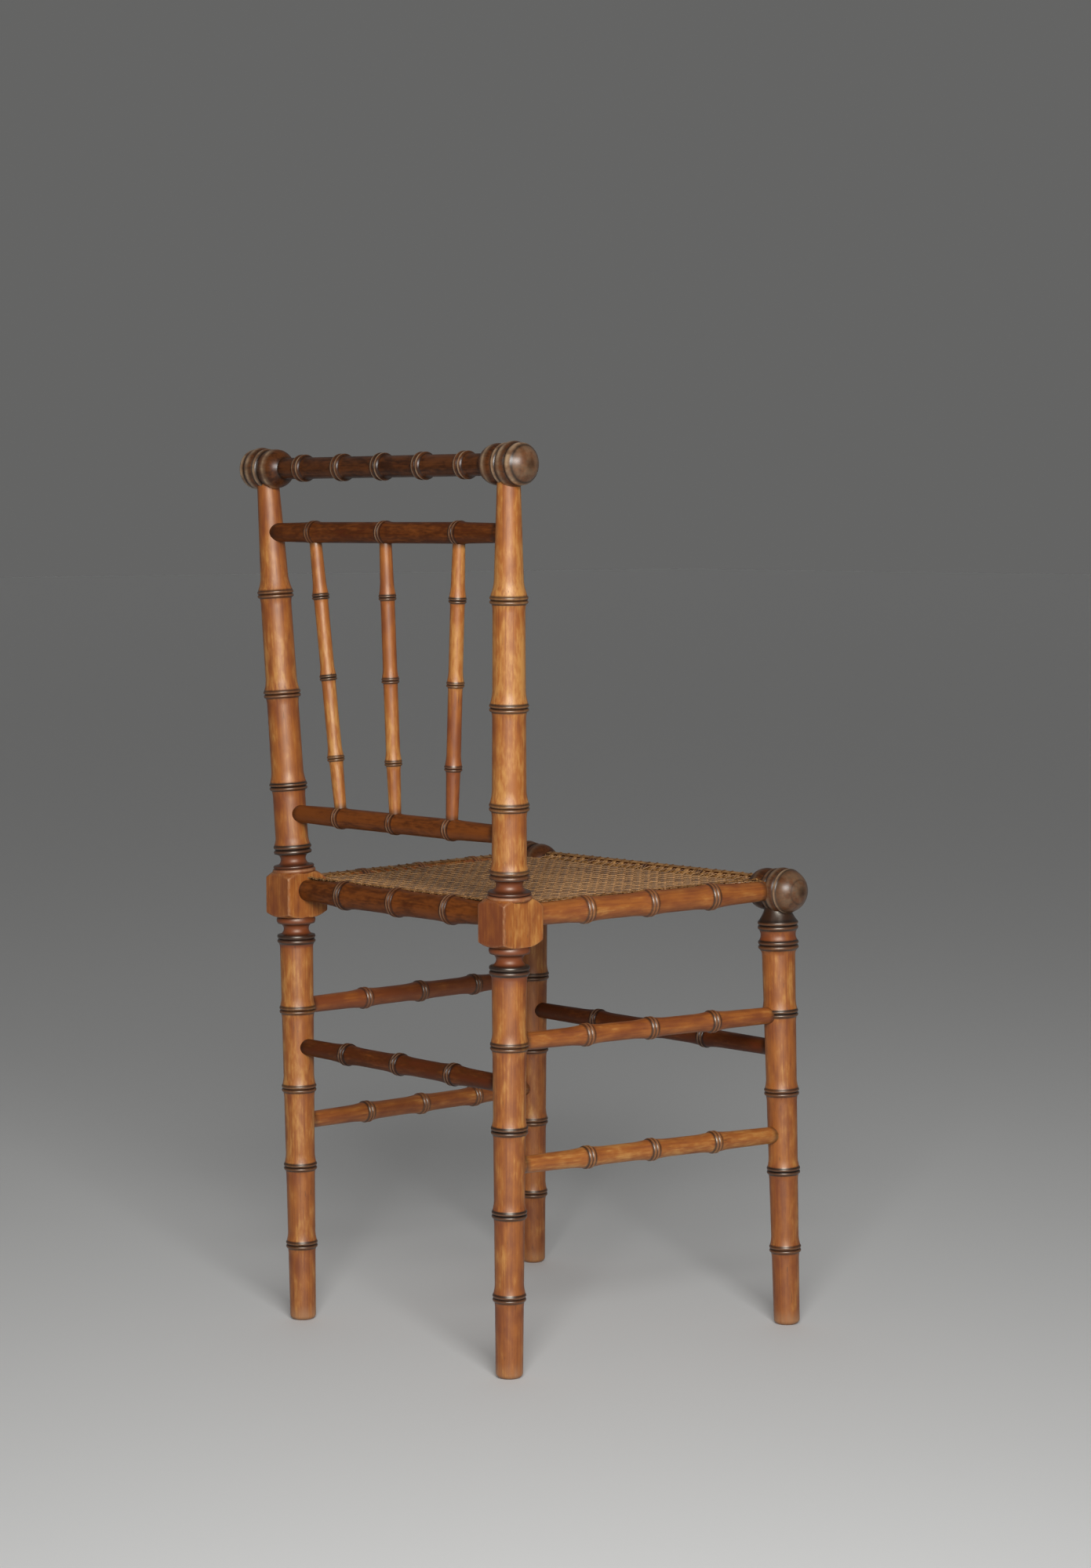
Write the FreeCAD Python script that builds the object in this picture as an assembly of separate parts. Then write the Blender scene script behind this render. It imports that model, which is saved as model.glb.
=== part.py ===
import FreeCAD, Part
import math
import os
from collections import namedtuple

Vector = FreeCAD.Vector

# All sizes in millimetres. The chair faces -Y, stands on z = 0, and its sitter's left is +X.

# Plan and heights of the frame's axes
crest_height = 860.0
upper_back_rail_drop = 63.0
seat_rail_height = 439.0
front_rail_rise = 1.5
block_drop = 4.7
lower_back_rail_rise = 77.0
rear_foot_spread = 313.4
block_spread = 321.8
crest_spread = 360.2
front_foot_spread = 380.4
front_top_spread = 364.2
seat_depth = 341.0
rear_foot_forward = 3.2
back_rake = 17.7
front_foot_forward = 9.3
upper_side_stretcher_below_seat = 119.0
upper_side_stretcher_drop = 5.0
cross_stretcher_below_seat = 159.0
lower_side_stretcher_below_seat = 236.5
lower_side_stretcher_drop = 9.0

# Glued joints
glue_gap = 0.12
stretcher_tenon = 13.0
back_rail_tenon = 10.0
spindle_tenon = 8.0
rear_seat_rail_tenon = 15.0
side_seat_rail_tenon = 11.5
post_tenon = 16.0
front_leg_tenon_radius = 9.0
front_leg_tenon = 17.0

# Turned rings: two beads with a groove between them, and the flare of the stick beside them
Ring = namedtuple("Ring", "width lift groove flare flare_length")
leg_ring = Ring(width=8.5, lift=2.2, groove=1.7, flare=1.2, flare_length=10.0)
rail_ring = Ring(width=7.0, lift=1.3, groove=0.9, flare=0.7, flare_length=6.0)
spindle_ring = Ring(width=5.5, lift=1.5, groove=1.0, flare=0.8, flare_length=6.0)
crest_ring = Ring(width=11.0, lift=3.0, groove=1.2, flare=0.8, flare_length=4.0)
# A flare bends at this share of its length, where it has risen by this share of its lift
flare_bend = 0.4
flare_bend_rise = 0.3
ring_pitch = 80.0
crest_ring_pitch = 60.5
leg_first_ring = 77.0
post_ring_rises = (104.0, 197.0, 297.0)
spindle_first_ring = 59.0

# Legs and posts
foot_radius = 13.0
foot_round = 3.0
foot_trim = 1.5
leg_top_radius = 16.75
post_knee_radius = 15.2
post_top_radius = 10.9
block_width = 36.5
block_depth = 50.0
block_tall = 46.0
block_forward = 1.5
shoulder_radius = 20.0
upper_shoulder_drop = 8.5
lower_shoulder_drop = 6.0
shoulder_bend = 0.35
collar_ring = Ring(width=9.0, lift=2.5, groove=1.6, flare=1.2, flare_length=5.0)
neck_radius = 12.5
neck_length = 11.5
flange_radius = 21.5
flange_thick = 6.5
flange_crown_radius = 20.8
flange_lip_radius = 19.5
collar_lip_radius = 18.5
core_radius = 15.0
front_collar_ring = Ring(width=9.5, lift=3.6, groove=1.5, flare=2.4, flare_length=6.0)
front_collar_drop = 54.6
front_collar_pitch = 19.8
front_waist_radius = 17.5
cone_top_radius = 13.4
cone_length = 11.0
cone_hollow = 0.6

# Rails, stretchers and spindles
RailSize = namedtuple("RailSize", "body start end")
stretcher_size = RailSize(body=9.8, start=8.5, end=8.5)
upper_back_rail_size = RailSize(body=10.2, start=9.2, end=9.2)
lower_back_rail_size = RailSize(body=9.7, start=8.6, end=8.6)
rear_seat_rail_size = RailSize(body=13.0, start=10.4, end=10.4)
side_seat_rail_size = RailSize(body=12.0, start=10.5, end=9.8)
spindle_size = RailSize(body=7.3, start=5.9, end=6.0)
upper_spindle_pitch = 108.0
lower_spindle_pitch = 83.0
crest_body_radius = 10.5
front_rail_body_radius = 12.4

# Bulbs of the crest and front rails: each bead has its crown's and end's distance outboard of the
# post's axis, and how far both lie below the bulb's radius
Bead = namedtuple("Bead", "crown crown_drop end end_drop")
knob_start = -29.5
crest_knob_radius = 21.3
crest_knob_tip = 30.6
crest_knob_beads = (
    Bead(-16.0, 1.9, -5.0, 4.0),
    Bead(-2.2, 1.3, 0.6, 2.8),
    Bead(7.2, 0.0, 13.9, 2.4),
    Bead(18.0, 1.6, 22.3, 4.2),
)
front_knob_radius = 23.0
front_knob_tip = 34.0
front_knob_beads = (
    Bead(-16.0, 2.2, -5.0, 4.0),
    Bead(-2.2, 1.4, 0.6, 2.6),
    Bead(6.5, 0.0, 13.0, 2.4),
    Bead(15.4, 0.5, 17.8, 1.6),
)

# Cane panel, laid in a rebate on the inner side of the seat rails, with a plain grid of square openings
cane_thick = 3.0
cane_rise = 7.5
cane_edge_inset = 4.0
cane_hole = 14.0
cane_hole_pitch = 26.0
cane_hole_margin = 4.0

# Heights that hang on the seat rails and the crest rail
upper_back_rail_height = crest_height - upper_back_rail_drop
lower_back_rail_height = seat_rail_height + lower_back_rail_rise
front_rail_height = seat_rail_height + front_rail_rise
front_collar_height = front_rail_height - front_collar_drop
block_height = seat_rail_height - block_drop
upper_side_stretcher_height = seat_rail_height - upper_side_stretcher_below_seat
cross_stretcher_height = seat_rail_height - cross_stretcher_below_seat
lower_side_stretcher_height = seat_rail_height - lower_side_stretcher_below_seat

# Depth of the chair's middle behind its front seat rail, so that the whole stands centred on y = 0
front_reach = front_knob_radius
rear_reach = seat_depth + back_rake + crest_knob_radius
front_y = -(rear_reach - front_reach) / 2
rear_y = front_y + seat_depth

left = 1
right = -1


class Outline:
    # Half outline of a turning: stations run along its axis, radii across it
    def __init__(self, station, radius, grow=0.0):
        self.grow = grow
        self.start = self.point(station, radius)
        self.last = self.start
        self.edges = []

    def point(self, station, radius):
        if radius > 0:
            radius += self.grow
        return Vector(radius, 0, station)

    def station(self):
        return self.last.z

    def radius(self):
        return self.last.x - self.grow

    def line(self, station, radius):
        target = self.point(station, radius)
        self.edges.append(Part.LineSegment(self.last, target).toShape())
        self.last = target

    def arc(self, via_station, via_radius, station, radius):
        target = self.point(station, radius)
        via = self.point(via_station, via_radius)
        self.edges.append(Part.Arc(self.last, via, target).toShape())
        self.last = target

    def dome(self, tip):
        # Round cap whose centre is on the axis
        rise = tip - self.station()
        sphere = (rise ** 2 + self.last.x ** 2) / (2 * rise)
        half_angle = math.atan2(self.last.x, self.station() - tip + sphere) / 2
        via = Vector(sphere * math.sin(half_angle), 0, tip - sphere + sphere * math.cos(half_angle))
        target = Vector(0, 0, tip)
        self.edges.append(Part.Arc(self.last, via, target).toShape())
        self.last = target

    def mirror(self):
        # Add the same outline on the other side of station 0
        self.edges += [edge.mirror(Vector(0, 0, 0), Vector(0, 0, 1)) for edge in self.edges]
        self.start = Vector(self.last.x, 0, -self.last.z)

    def turned(self, origin, direction):
        edges = list(self.edges)
        foot = Vector(0, 0, self.start.z)
        top = Vector(0, 0, self.last.z)
        if self.start.x > 0:
            edges.append(Part.LineSegment(foot, self.start).toShape())
        if self.last.x > 0:
            edges.append(Part.LineSegment(self.last, top).toShape())
        edges.append(Part.LineSegment(top, foot).toShape())
        face = Part.Face(Part.Wire(Part.sortEdges(edges)[0]))
        solid = face.revolve(Vector(0, 0, 0), Vector(0, 0, 1), 360)
        solid.Placement = FreeCAD.Placement(origin, FreeCAD.Rotation(Vector(0, 0, 1), direction))
        return solid


def taper(*points):
    # Radius along a stick, by straight lines through (station, radius) points
    def radius_at(station):
        for (low, low_radius), (high, high_radius) in zip(points, points[1:]):
            if station <= high:
                return low_radius + (high_radius - low_radius) * (station - low) / (high - low)
        return points[-1][1]
    return radius_at


def ring_beads(outline, station, body, ring):
    lip = body(station) + ring.lift
    outline.arc(station - ring.width / 4, lip, station, lip - ring.groove)
    outline.arc(station + ring.width / 4, lip, station + ring.width / 2, body(station) + ring.flare)


def flare_up(outline, station, body, ring):
    # The body widens into the lower edge of a ring
    edge = station - ring.width / 2
    outline.line(edge - ring.flare_length, body(edge - ring.flare_length))
    bend = edge - ring.flare_length * flare_bend
    outline.arc(bend, body(edge) + ring.flare * flare_bend_rise, edge, body(station) + ring.flare)


def flare_down(outline, station, body, ring):
    edge = station + ring.width / 2
    far = edge + ring.flare_length
    bend = edge + ring.flare_length * flare_bend
    outline.arc(bend, body(edge) + ring.flare * flare_bend_rise, far, body(far))


def bamboo_ring(outline, station, body, ring):
    flare_up(outline, station, body, ring)
    ring_beads(outline, station, body, ring)
    flare_down(outline, station, body, ring)


def ring_stations(first, pitch, end, ring):
    # One ring every pitch, for as far as a ring and its flares fit before the end
    room = end - ring.width / 2 - ring.flare_length - first
    return [first + pitch * index for index in range(math.floor(room / pitch) + 1)]


def post_ring_heights():
    # Rings of the rear posts above the seat that stand clear of the upper back rail
    reach = leg_ring.width / 2 + leg_ring.flare_length + upper_back_rail_size.body
    heights = [seat_rail_height + rise for rise in post_ring_rises]
    return [height for height in heights if height + reach < upper_back_rail_height]


def on_line(low, high, height):
    return low + (high - low) * ((height - low.z) / (high.z - low.z))


def rear_foot(side):
    return Vector(side * rear_foot_spread / 2, rear_y - rear_foot_forward, 0)


def rear_block(side):
    return Vector(side * block_spread / 2, rear_y, block_height)


def crest_end(side):
    return Vector(side * crest_spread / 2, rear_y + back_rake, crest_height)


def front_foot(side):
    return Vector(side * front_foot_spread / 2, front_y - front_foot_forward, 0)


def front_top(side):
    return Vector(side * front_top_spread / 2, front_y, front_rail_height)


def rear_post_axis(side, height):
    if height < block_height:
        return on_line(rear_foot(side), rear_block(side), height)
    return on_line(rear_block(side), crest_end(side), height)


def front_leg_axis(side, height):
    return on_line(front_foot(side), front_top(side), height)


def seat_corner(side):
    # Where the seat rails' axes meet the rear post
    return Vector(side * block_spread / 2, rear_y, seat_rail_height)


def leg_body(top):
    return taper((0, foot_radius), (top, leg_top_radius))


def post_body():
    knee = post_ring_heights()[-1] - block_height
    top = crest_height - block_height
    return taper((0, leg_top_radius), (knee, post_knee_radius), (top, post_top_radius))


class Stick:
    # A turned stick between two axis points. Each end is a plain round tenon, let into a socket
    # of the piece it meets: face is that piece's surface, measured from the axis point.
    def __init__(self, start, end, size, ring, rings, faces, tenons):
        self.start = start
        self.end = end
        self.size = size
        self.ring = ring
        self.rings = rings
        self.faces = faces
        self.tenons = tenons
        self.length = (end - start).Length

    def solid(self):
        near = self.faces[0]
        far = self.length - self.faces[1]
        body = taper(
            (near, self.size.start),
            (self.rings[0], self.size.body),
            (self.rings[-1], self.size.body),
            (far, self.size.end),
        )
        outline = Outline(near - self.tenons[0], self.size.start)
        outline.line(near, self.size.start)
        for station in self.rings:
            bamboo_ring(outline, station, body, self.ring)
        outline.line(far, self.size.end)
        outline.line(far + self.tenons[1], self.size.end)
        return outline.turned(self.start, self.end - self.start)

    def socket(self, point, toward, radius, face, tenon):
        along = (toward - point).normalize()
        bottom = face - tenon - glue_gap
        mouth = radius + glue_gap
        return Part.makeCylinder(mouth, tenon + glue_gap + mouth, point + along * bottom, along)

    def start_socket(self):
        return self.socket(self.start, self.end, self.size.start, self.faces[0], self.tenons[0])

    def end_socket(self):
        return self.socket(self.end, self.start, self.size.end, self.faces[1], self.tenons[1])


def centred_rings(length):
    return (length / 2 - ring_pitch, length / 2, length / 2 + ring_pitch)


def rail(start, end, size, faces, tenons):
    rings = centred_rings((end - start).Length)
    return Stick(start, end, size, rail_ring, rings, faces, tenons)


def back_rail(height, size):
    # The spindles stand in the rail's rings
    start = rear_post_axis(right, height)
    end = rear_post_axis(left, height)
    pitch = upper_spindle_pitch if height == upper_back_rail_height else lower_spindle_pitch
    middle = (end - start).Length / 2
    rings = (middle - pitch, middle, middle + pitch)
    face = post_body()(height - block_height)
    return Stick(start, end, size, rail_ring, rings, (face, face), (back_rail_tenon, back_rail_tenon))


def spindle(place):
    low = rear_post_axis(right, lower_back_rail_height)
    high = rear_post_axis(right, upper_back_rail_height)
    start = Vector(place * lower_spindle_pitch, low.y, low.z)
    end = Vector(place * upper_spindle_pitch, high.y, high.z)
    faces = (lower_back_rail_size.body, upper_back_rail_size.body)
    rings = ring_stations(spindle_first_ring, ring_pitch, (end - start).Length - faces[1], spindle_ring)
    return Stick(start, end, spindle_size, spindle_ring, rings, faces, (spindle_tenon, spindle_tenon))


def cross_stretcher(axis):
    face = leg_body(front_collar_height)(cross_stretcher_height)
    start = axis(right, cross_stretcher_height)
    end = axis(left, cross_stretcher_height)
    return rail(start, end, stretcher_size, (face, face), (stretcher_tenon, stretcher_tenon))


def side_stretcher(side, height, drop):
    face = leg_body(front_collar_height)(height)
    start = rear_post_axis(side, height)
    end = front_leg_axis(side, height - drop)
    return rail(start, end, stretcher_size, (face, face), (stretcher_tenon, stretcher_tenon))


def rear_seat_rail():
    faces = (block_width / 2, block_width / 2)
    tenons = (rear_seat_rail_tenon, rear_seat_rail_tenon)
    return rail(seat_corner(right), seat_corner(left), rear_seat_rail_size, faces, tenons)


def side_seat_rail(side):
    faces = (block_depth / 2 + block_forward, front_knob_radius)
    tenons = (side_seat_rail_tenon, side_seat_rail_tenon)
    return rail(seat_corner(side), front_top(side), side_seat_rail_size, faces, tenons)


def knob(outline, axis, radius, beads, tip):
    for bead in beads:
        crown = radius - bead.crown_drop
        outline.arc(axis + bead.crown, crown, axis + bead.end, radius - bead.end_drop)
    outline.dome(axis + tip)


def ringed_rail(spread, body_radius, pitch, ring, knob_radius, beads, tip, grow=0.0):
    # A rail with a ring at its middle, more on each side, and a bulb over each leg
    axis = spread / 2
    body = taper((0, body_radius), (axis, body_radius))
    lip = body_radius + ring.lift
    outline = Outline(0, lip - ring.groove, grow)
    outline.arc(ring.width / 4, lip, ring.width / 2, body_radius + ring.flare)
    flare_down(outline, 0, body, ring)
    for station in ring_stations(pitch, pitch, axis + knob_start, ring):
        bamboo_ring(outline, station, body, ring)
    outline.line(axis + knob_start, body_radius)
    knob(outline, axis, knob_radius, beads, tip)
    outline.mirror()
    return outline


def crest_rail_blank(grow=0.0):
    outline = ringed_rail(crest_spread, crest_body_radius, crest_ring_pitch, crest_ring,
                          crest_knob_radius, crest_knob_beads, crest_knob_tip, grow)
    return outline.turned(Vector(0, rear_y + back_rake, crest_height), Vector(1, 0, 0))


def front_rail_blank(grow=0.0):
    outline = ringed_rail(front_top_spread, front_rail_body_radius, ring_pitch, rail_ring,
                          front_knob_radius, front_knob_beads, front_knob_tip, grow)
    return outline.turned(Vector(0, front_y, front_rail_height), Vector(1, 0, 0))


def leg_outline(collar, ring):
    # Foot and bamboo rings, up to a collar. The turning starts below the floor, where it is sawn level.
    body = leg_body(collar)
    inner = foot_radius - foot_round
    slant = foot_round * math.sqrt(0.5)
    outline = Outline(-foot_trim, inner)
    outline.line(0, inner)
    outline.arc(foot_round - slant, inner + slant, foot_round, body(foot_round))
    end = collar - ring.width / 2 - ring.flare_length
    for station in ring_stations(leg_first_ring, ring_pitch, end, leg_ring):
        bamboo_ring(outline, station, body, leg_ring)
    return outline


def sawn_level(shape):
    reach = 4 * foot_radius
    foot = shape.BoundBox
    corner = Vector(foot.Center.x - reach, foot.Center.y - reach, -reach)
    return shape.cut(Part.makeBox(2 * reach, 2 * reach, reach, corner))


def cove(outline, length, lip):
    # Round hollow between two collars
    start = outline.station()
    outline.arc(start + length / 2, neck_radius, start + length, lip)


def lower_post(side):
    # From the foot to inside the block
    block_bottom = block_height - block_tall / 2
    collar = block_bottom - flange_thick - neck_length - collar_ring.width / 2
    body = leg_body(collar)
    outline = leg_outline(collar, collar_ring)
    flare_up(outline, collar, body, collar_ring)
    ring_beads(outline, collar, body, collar_ring)
    cove(outline, neck_length, collar_lip_radius)
    start = outline.station()
    outline.arc(start + flange_thick / 2, flange_lip_radius, start + flange_thick, collar_lip_radius)
    outline.line(block_bottom + lower_shoulder_drop, core_radius)
    outline.line(block_height, core_radius)
    return outline.turned(rear_foot(side), rear_block(side) - rear_foot(side))


def upper_post(side):
    # From inside the block to the tenon in the crest rail
    block_top = block_tall / 2
    body = post_body()
    top = crest_height - block_height
    outline = Outline(0, core_radius)
    outline.line(block_top - upper_shoulder_drop, core_radius)
    outline.line(block_top - upper_shoulder_drop / 4, flange_radius)
    outline.line(block_top, flange_radius)
    crown = block_top + flange_thick / 2
    outline.arc(crown, flange_crown_radius, block_top + flange_thick, collar_lip_radius)
    cove(outline, neck_length, collar_lip_radius)
    collar = outline.station() + collar_ring.width / 2
    ring_beads(outline, collar, body, collar_ring)
    flare_down(outline, collar, body, collar_ring)
    for height in post_ring_heights():
        bamboo_ring(outline, height - block_height, body, leg_ring)
    shoulder = top - crest_knob_radius
    outline.line(shoulder, body(shoulder))
    outline.line(shoulder + post_tenon, body(shoulder))
    return outline.turned(rear_block(side), crest_end(side) - rear_block(side))


def post_socket(side):
    # Hole for the post's tenon, bored up into the crest rail's bulb
    along = (crest_end(side) - rear_block(side)).normalize()
    radius = post_body()(crest_height - block_height - crest_knob_radius) + glue_gap
    mouth = crest_end(side) - along * (2 * crest_knob_radius)
    depth = crest_knob_radius + post_tenon + glue_gap
    length = (crest_end(side) - rear_block(side)).Length
    slip = length - (crest_height - block_height)
    return Part.makeCylinder(radius, depth - slip, mouth, along)


def block_solid(side, grow=0.0):
    # Square block with its corners turned off above and below
    width = block_width + 2 * grow
    depth = block_depth + 2 * grow
    tall = block_tall + 2 * grow
    corner = Vector(-width / 2, -depth / 2 - block_forward, -tall / 2)
    box = Part.makeBox(width, depth, tall, corner)
    corner_radius = math.hypot(width / 2, depth / 2 + block_forward)
    low = -tall / 2
    high = tall / 2
    middle = (shoulder_radius + corner_radius) / 2
    outline = Outline(low, shoulder_radius)
    outline.arc(low + lower_shoulder_drop * shoulder_bend, middle, low + lower_shoulder_drop, corner_radius)
    outline.line(high - upper_shoulder_drop, corner_radius)
    outline.arc(high - upper_shoulder_drop * shoulder_bend, middle, high, shoulder_radius)
    block = box.common(outline.turned(Vector(0, 0, 0), Vector(0, 0, 1)))
    block.translate(rear_block(side))
    return block


def rear_post(side):
    solid = sawn_level(lower_post(side)).fuse([block_solid(side), upper_post(side)])
    return solid.removeSplitter()


def front_leg(side):
    # Leg with its collars and cone, hollowed under the front rail's bulb, and a tenon into it
    lower_collar = front_collar_height
    upper_collar = lower_collar + front_collar_pitch
    body = leg_body(lower_collar)
    outline = leg_outline(lower_collar, front_collar_ring)
    flare_up(outline, lower_collar, body, front_collar_ring)
    ring_beads(outline, lower_collar, body, front_collar_ring)
    edge = upper_collar - front_collar_ring.width / 2
    waist = (outline.station() + edge) / 2
    outline.arc(waist, front_waist_radius, edge, leg_top_radius + front_collar_ring.flare)
    collar_body = taper((0, leg_top_radius), (upper_collar, leg_top_radius))
    ring_beads(outline, upper_collar, collar_body, front_collar_ring)
    cone = outline.station()
    middle = (outline.radius() + cone_top_radius) / 2 - cone_hollow
    outline.arc(cone + cone_length / 2, middle, cone + cone_length, cone_top_radius)
    outline.line(front_rail_height - front_knob_radius / 2, cone_top_radius)
    direction = front_top(side) - front_foot(side)
    leg = sawn_level(outline.turned(front_foot(side), direction)).cut(front_rail_blank(glue_gap))
    tenon = front_leg_tenon_solid(side, 0.0)
    return leg.Solids[0].fuse(tenon).removeSplitter()


def front_leg_tenon_solid(side, grow):
    along = (front_top(side) - front_foot(side)).normalize()
    bottom = front_top(side) - along * (front_knob_radius + front_collar_ring.width)
    length = front_collar_ring.width + front_leg_tenon + grow
    return Part.makeCylinder(front_leg_tenon_radius + grow, length, bottom, along)


def offset_corner(point, side, inset_x, inset_y, height):
    return Vector(point.x - side * inset_x, point.y + inset_y, height)


def cane_plate(low, high, outward, holes=()):
    # Plate between the four seat rails. Its edges lie inside the rails' axes by the inset.
    inset = cane_edge_inset - outward
    corners = [
        offset_corner(seat_corner(left), left, inset, -inset, low),
        offset_corner(seat_corner(right), right, inset, -inset, low),
        offset_corner(front_top(right), right, inset, inset, low),
        offset_corner(front_top(left), left, inset, inset, low),
    ]
    edge = Part.makePolygon(corners + corners[:1])
    return Part.Face([edge] + list(holes)).extrude(Vector(0, 0, high - low))


def square_hole(x, y, height):
    half = cane_hole / 2
    signs = ((1, 1), (1, -1), (-1, -1), (-1, 1), (1, 1))
    return Part.makePolygon([Vector(x + i * half, y + j * half, height) for i, j in signs])


def cane_holes(height):
    # Openings that lie whole between the side rails, the rear rail and the front rail's bulbs
    front = front_y + front_knob_radius + cane_hole_margin
    rear = rear_y - rear_seat_rail_size.body - cane_hole_margin
    rows = math.floor((rear - front - cane_hole) / cane_hole_pitch) + 1
    first = (front + rear - (rows - 1) * cane_hole_pitch) / 2
    narrowing = (front_top_spread - block_spread) / 2 / seat_depth
    holes = []
    for row in range(rows):
        y = first + row * cane_hole_pitch
        axis = front_top_spread / 2 - narrowing * (y + cane_hole / 2 - front_y)
        reach = axis - side_seat_rail_size.body - cane_hole_margin - cane_hole / 2
        for column in range(math.floor(reach / cane_hole_pitch + 0.5)):
            x = (column + 0.5) * cane_hole_pitch
            holes += [square_hole(side * x, y, height) for side in (left, right)]
    return holes


def cane_recess():
    low = seat_rail_height + cane_rise - glue_gap
    return cane_plate(low, seat_rail_height + 2 * front_knob_radius, glue_gap)


def cane_seat():
    low = seat_rail_height + cane_rise
    plate = cane_plate(low, low + cane_thick, 0.0, cane_holes(low))
    for side in (left, right):
        plate = plate.cut(block_solid(side, glue_gap))
    return plate.cut(front_rail_blank(glue_gap).cut(between_bulbs(glue_gap)))


def between_bulbs(margin):
    # The stretch of the front rail where the cane is laid in its rebate
    reach = front_top_spread / 2 + knob_start - margin
    size = 4 * front_knob_radius
    corner = Vector(-reach, front_y - size / 2, front_rail_height - size / 2)
    return Part.makeBox(2 * reach, size, size, corner)


def front_seat_rail():
    return front_rail_blank().cut(cane_recess().common(between_bulbs(0.0)))


def single(shape):
    # The one solid of a cut or fused shape
    solids = shape.Solids
    if len(solids) != 1:
        raise ValueError("expected one solid, got %d" % len(solids))
    return solids[0]


def assemble():
    nodes = {}
    sides = {"left": left, "right": right}
    upper_rail = back_rail(upper_back_rail_height, upper_back_rail_size)
    lower_rail = back_rail(lower_back_rail_height, lower_back_rail_size)
    seat_rear = rear_seat_rail()
    rear_cross = cross_stretcher(rear_post_axis)
    front_cross = cross_stretcher(front_leg_axis)
    recess = cane_recess()
    nodes["rear_seat_rail"] = seat_rear.solid().cut(recess)
    nodes["rear_stretcher"] = rear_cross.solid()
    nodes["front_stretcher"] = front_cross.solid()
    upper_holes = []
    lower_holes = []
    for name, place in (("left", left), ("middle", 0), ("right", right)):
        stick = spindle(place)
        nodes["spindle_" + name] = stick.solid()
        lower_holes.append(stick.start_socket())
        upper_holes.append(stick.end_socket())
    nodes["upper_back_rail"] = upper_rail.solid().cut(upper_holes)
    nodes["lower_back_rail"] = lower_rail.solid().cut(lower_holes)
    front_holes = []
    for name, side in sides.items():
        side_rail = side_seat_rail(side)
        upper_side = side_stretcher(side, upper_side_stretcher_height, upper_side_stretcher_drop)
        lower_side = side_stretcher(side, lower_side_stretcher_height, lower_side_stretcher_drop)
        nodes["side_seat_rail_" + name] = side_rail.solid().cut(recess)
        nodes["upper_side_stretcher_" + name] = upper_side.solid()
        nodes["lower_side_stretcher_" + name] = lower_side.solid()
        cross_rails = (upper_rail, lower_rail, seat_rear, rear_cross)
        post_holes = [stick.end_socket() if side == left else stick.start_socket() for stick in cross_rails]
        post_holes += [stick.start_socket() for stick in (side_rail, upper_side, lower_side)]
        nodes["rear_post_" + name] = rear_post(side).cut(post_holes)
        leg_holes = [front_cross.end_socket() if side == left else front_cross.start_socket()]
        leg_holes += [upper_side.end_socket(), lower_side.end_socket()]
        nodes["front_leg_" + name] = front_leg(side).cut(leg_holes)
        front_holes += [front_leg_tenon_solid(side, glue_gap), side_rail.end_socket()]
    nodes["front_seat_rail"] = front_seat_rail().cut(front_holes)
    nodes["crest_rail"] = crest_rail_blank().cut([post_socket(side) for side in (left, right)])
    nodes["cane_seat"] = cane_seat()
    return nodes


os.makedirs("parts", exist_ok=True)
for node, shape in assemble().items():
    single(shape).exportStep("parts/" + node + ".step")
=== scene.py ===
# Faux bamboo side chair: turned and ringed wood, woven cane seat
import math
import random
import bmesh
import bpy
from mathutils import Matrix, Vector


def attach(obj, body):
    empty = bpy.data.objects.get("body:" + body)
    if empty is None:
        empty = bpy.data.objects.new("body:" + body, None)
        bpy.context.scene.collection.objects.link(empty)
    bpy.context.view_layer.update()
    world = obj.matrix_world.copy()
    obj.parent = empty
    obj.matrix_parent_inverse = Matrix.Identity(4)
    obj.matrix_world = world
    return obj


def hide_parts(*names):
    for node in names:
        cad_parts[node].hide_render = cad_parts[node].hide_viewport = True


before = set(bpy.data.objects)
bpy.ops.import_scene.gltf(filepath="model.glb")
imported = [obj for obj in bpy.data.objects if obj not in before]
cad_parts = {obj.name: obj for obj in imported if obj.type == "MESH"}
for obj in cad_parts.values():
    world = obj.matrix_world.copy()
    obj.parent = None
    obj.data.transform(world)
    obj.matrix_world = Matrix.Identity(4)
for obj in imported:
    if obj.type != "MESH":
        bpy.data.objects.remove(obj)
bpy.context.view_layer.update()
mm = 0.001
sides = {"Left": 1, "Right": -1}
print("frame loaded:", len(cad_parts), "nodes")

# axes of the chair in mm: the sitter faces -Y, the sitter's left is +X
chair = {
    "seatHeight": 439.0,
    "frontRailHeight": 440.5,
    "blockHeight": 434.3,
    "crestHeight": 860.0,
    "rearFoot": (156.7, 159.3),
    "block": (160.9, 162.5),
    "crestEnd": (180.1, 180.2),
    "frontFoot": (190.2, -187.8),
    "frontTop": (182.1, -178.5),
    "letIn": 7.0,  # how far a stick runs on inside the piece it meets
}


def frameName(name):
    # the name as the frame writes it: crestRail is crest_rail there
    return "".join("_" + letter.lower() if letter.isupper() else letter for letter in name)


def corner(name, side, height):
    x, y = chair[name]
    return Vector((side * x, y, height))


def onLine(low, high, height):
    return low.lerp(high, (height - low.z) / (high.z - low.z))


def rearAxis(side, height):
    block = corner("block", side, chair["blockHeight"])
    if height < chair["blockHeight"]:
        return onLine(corner("rearFoot", side, 0), block, height)
    return onLine(block, corner("crestEnd", side, chair["crestHeight"]), height)


def frontAxis(side, height):
    top = corner("frontTop", side, chair["frontRailHeight"])
    return onLine(corner("frontFoot", side, 0), top, height)


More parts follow.
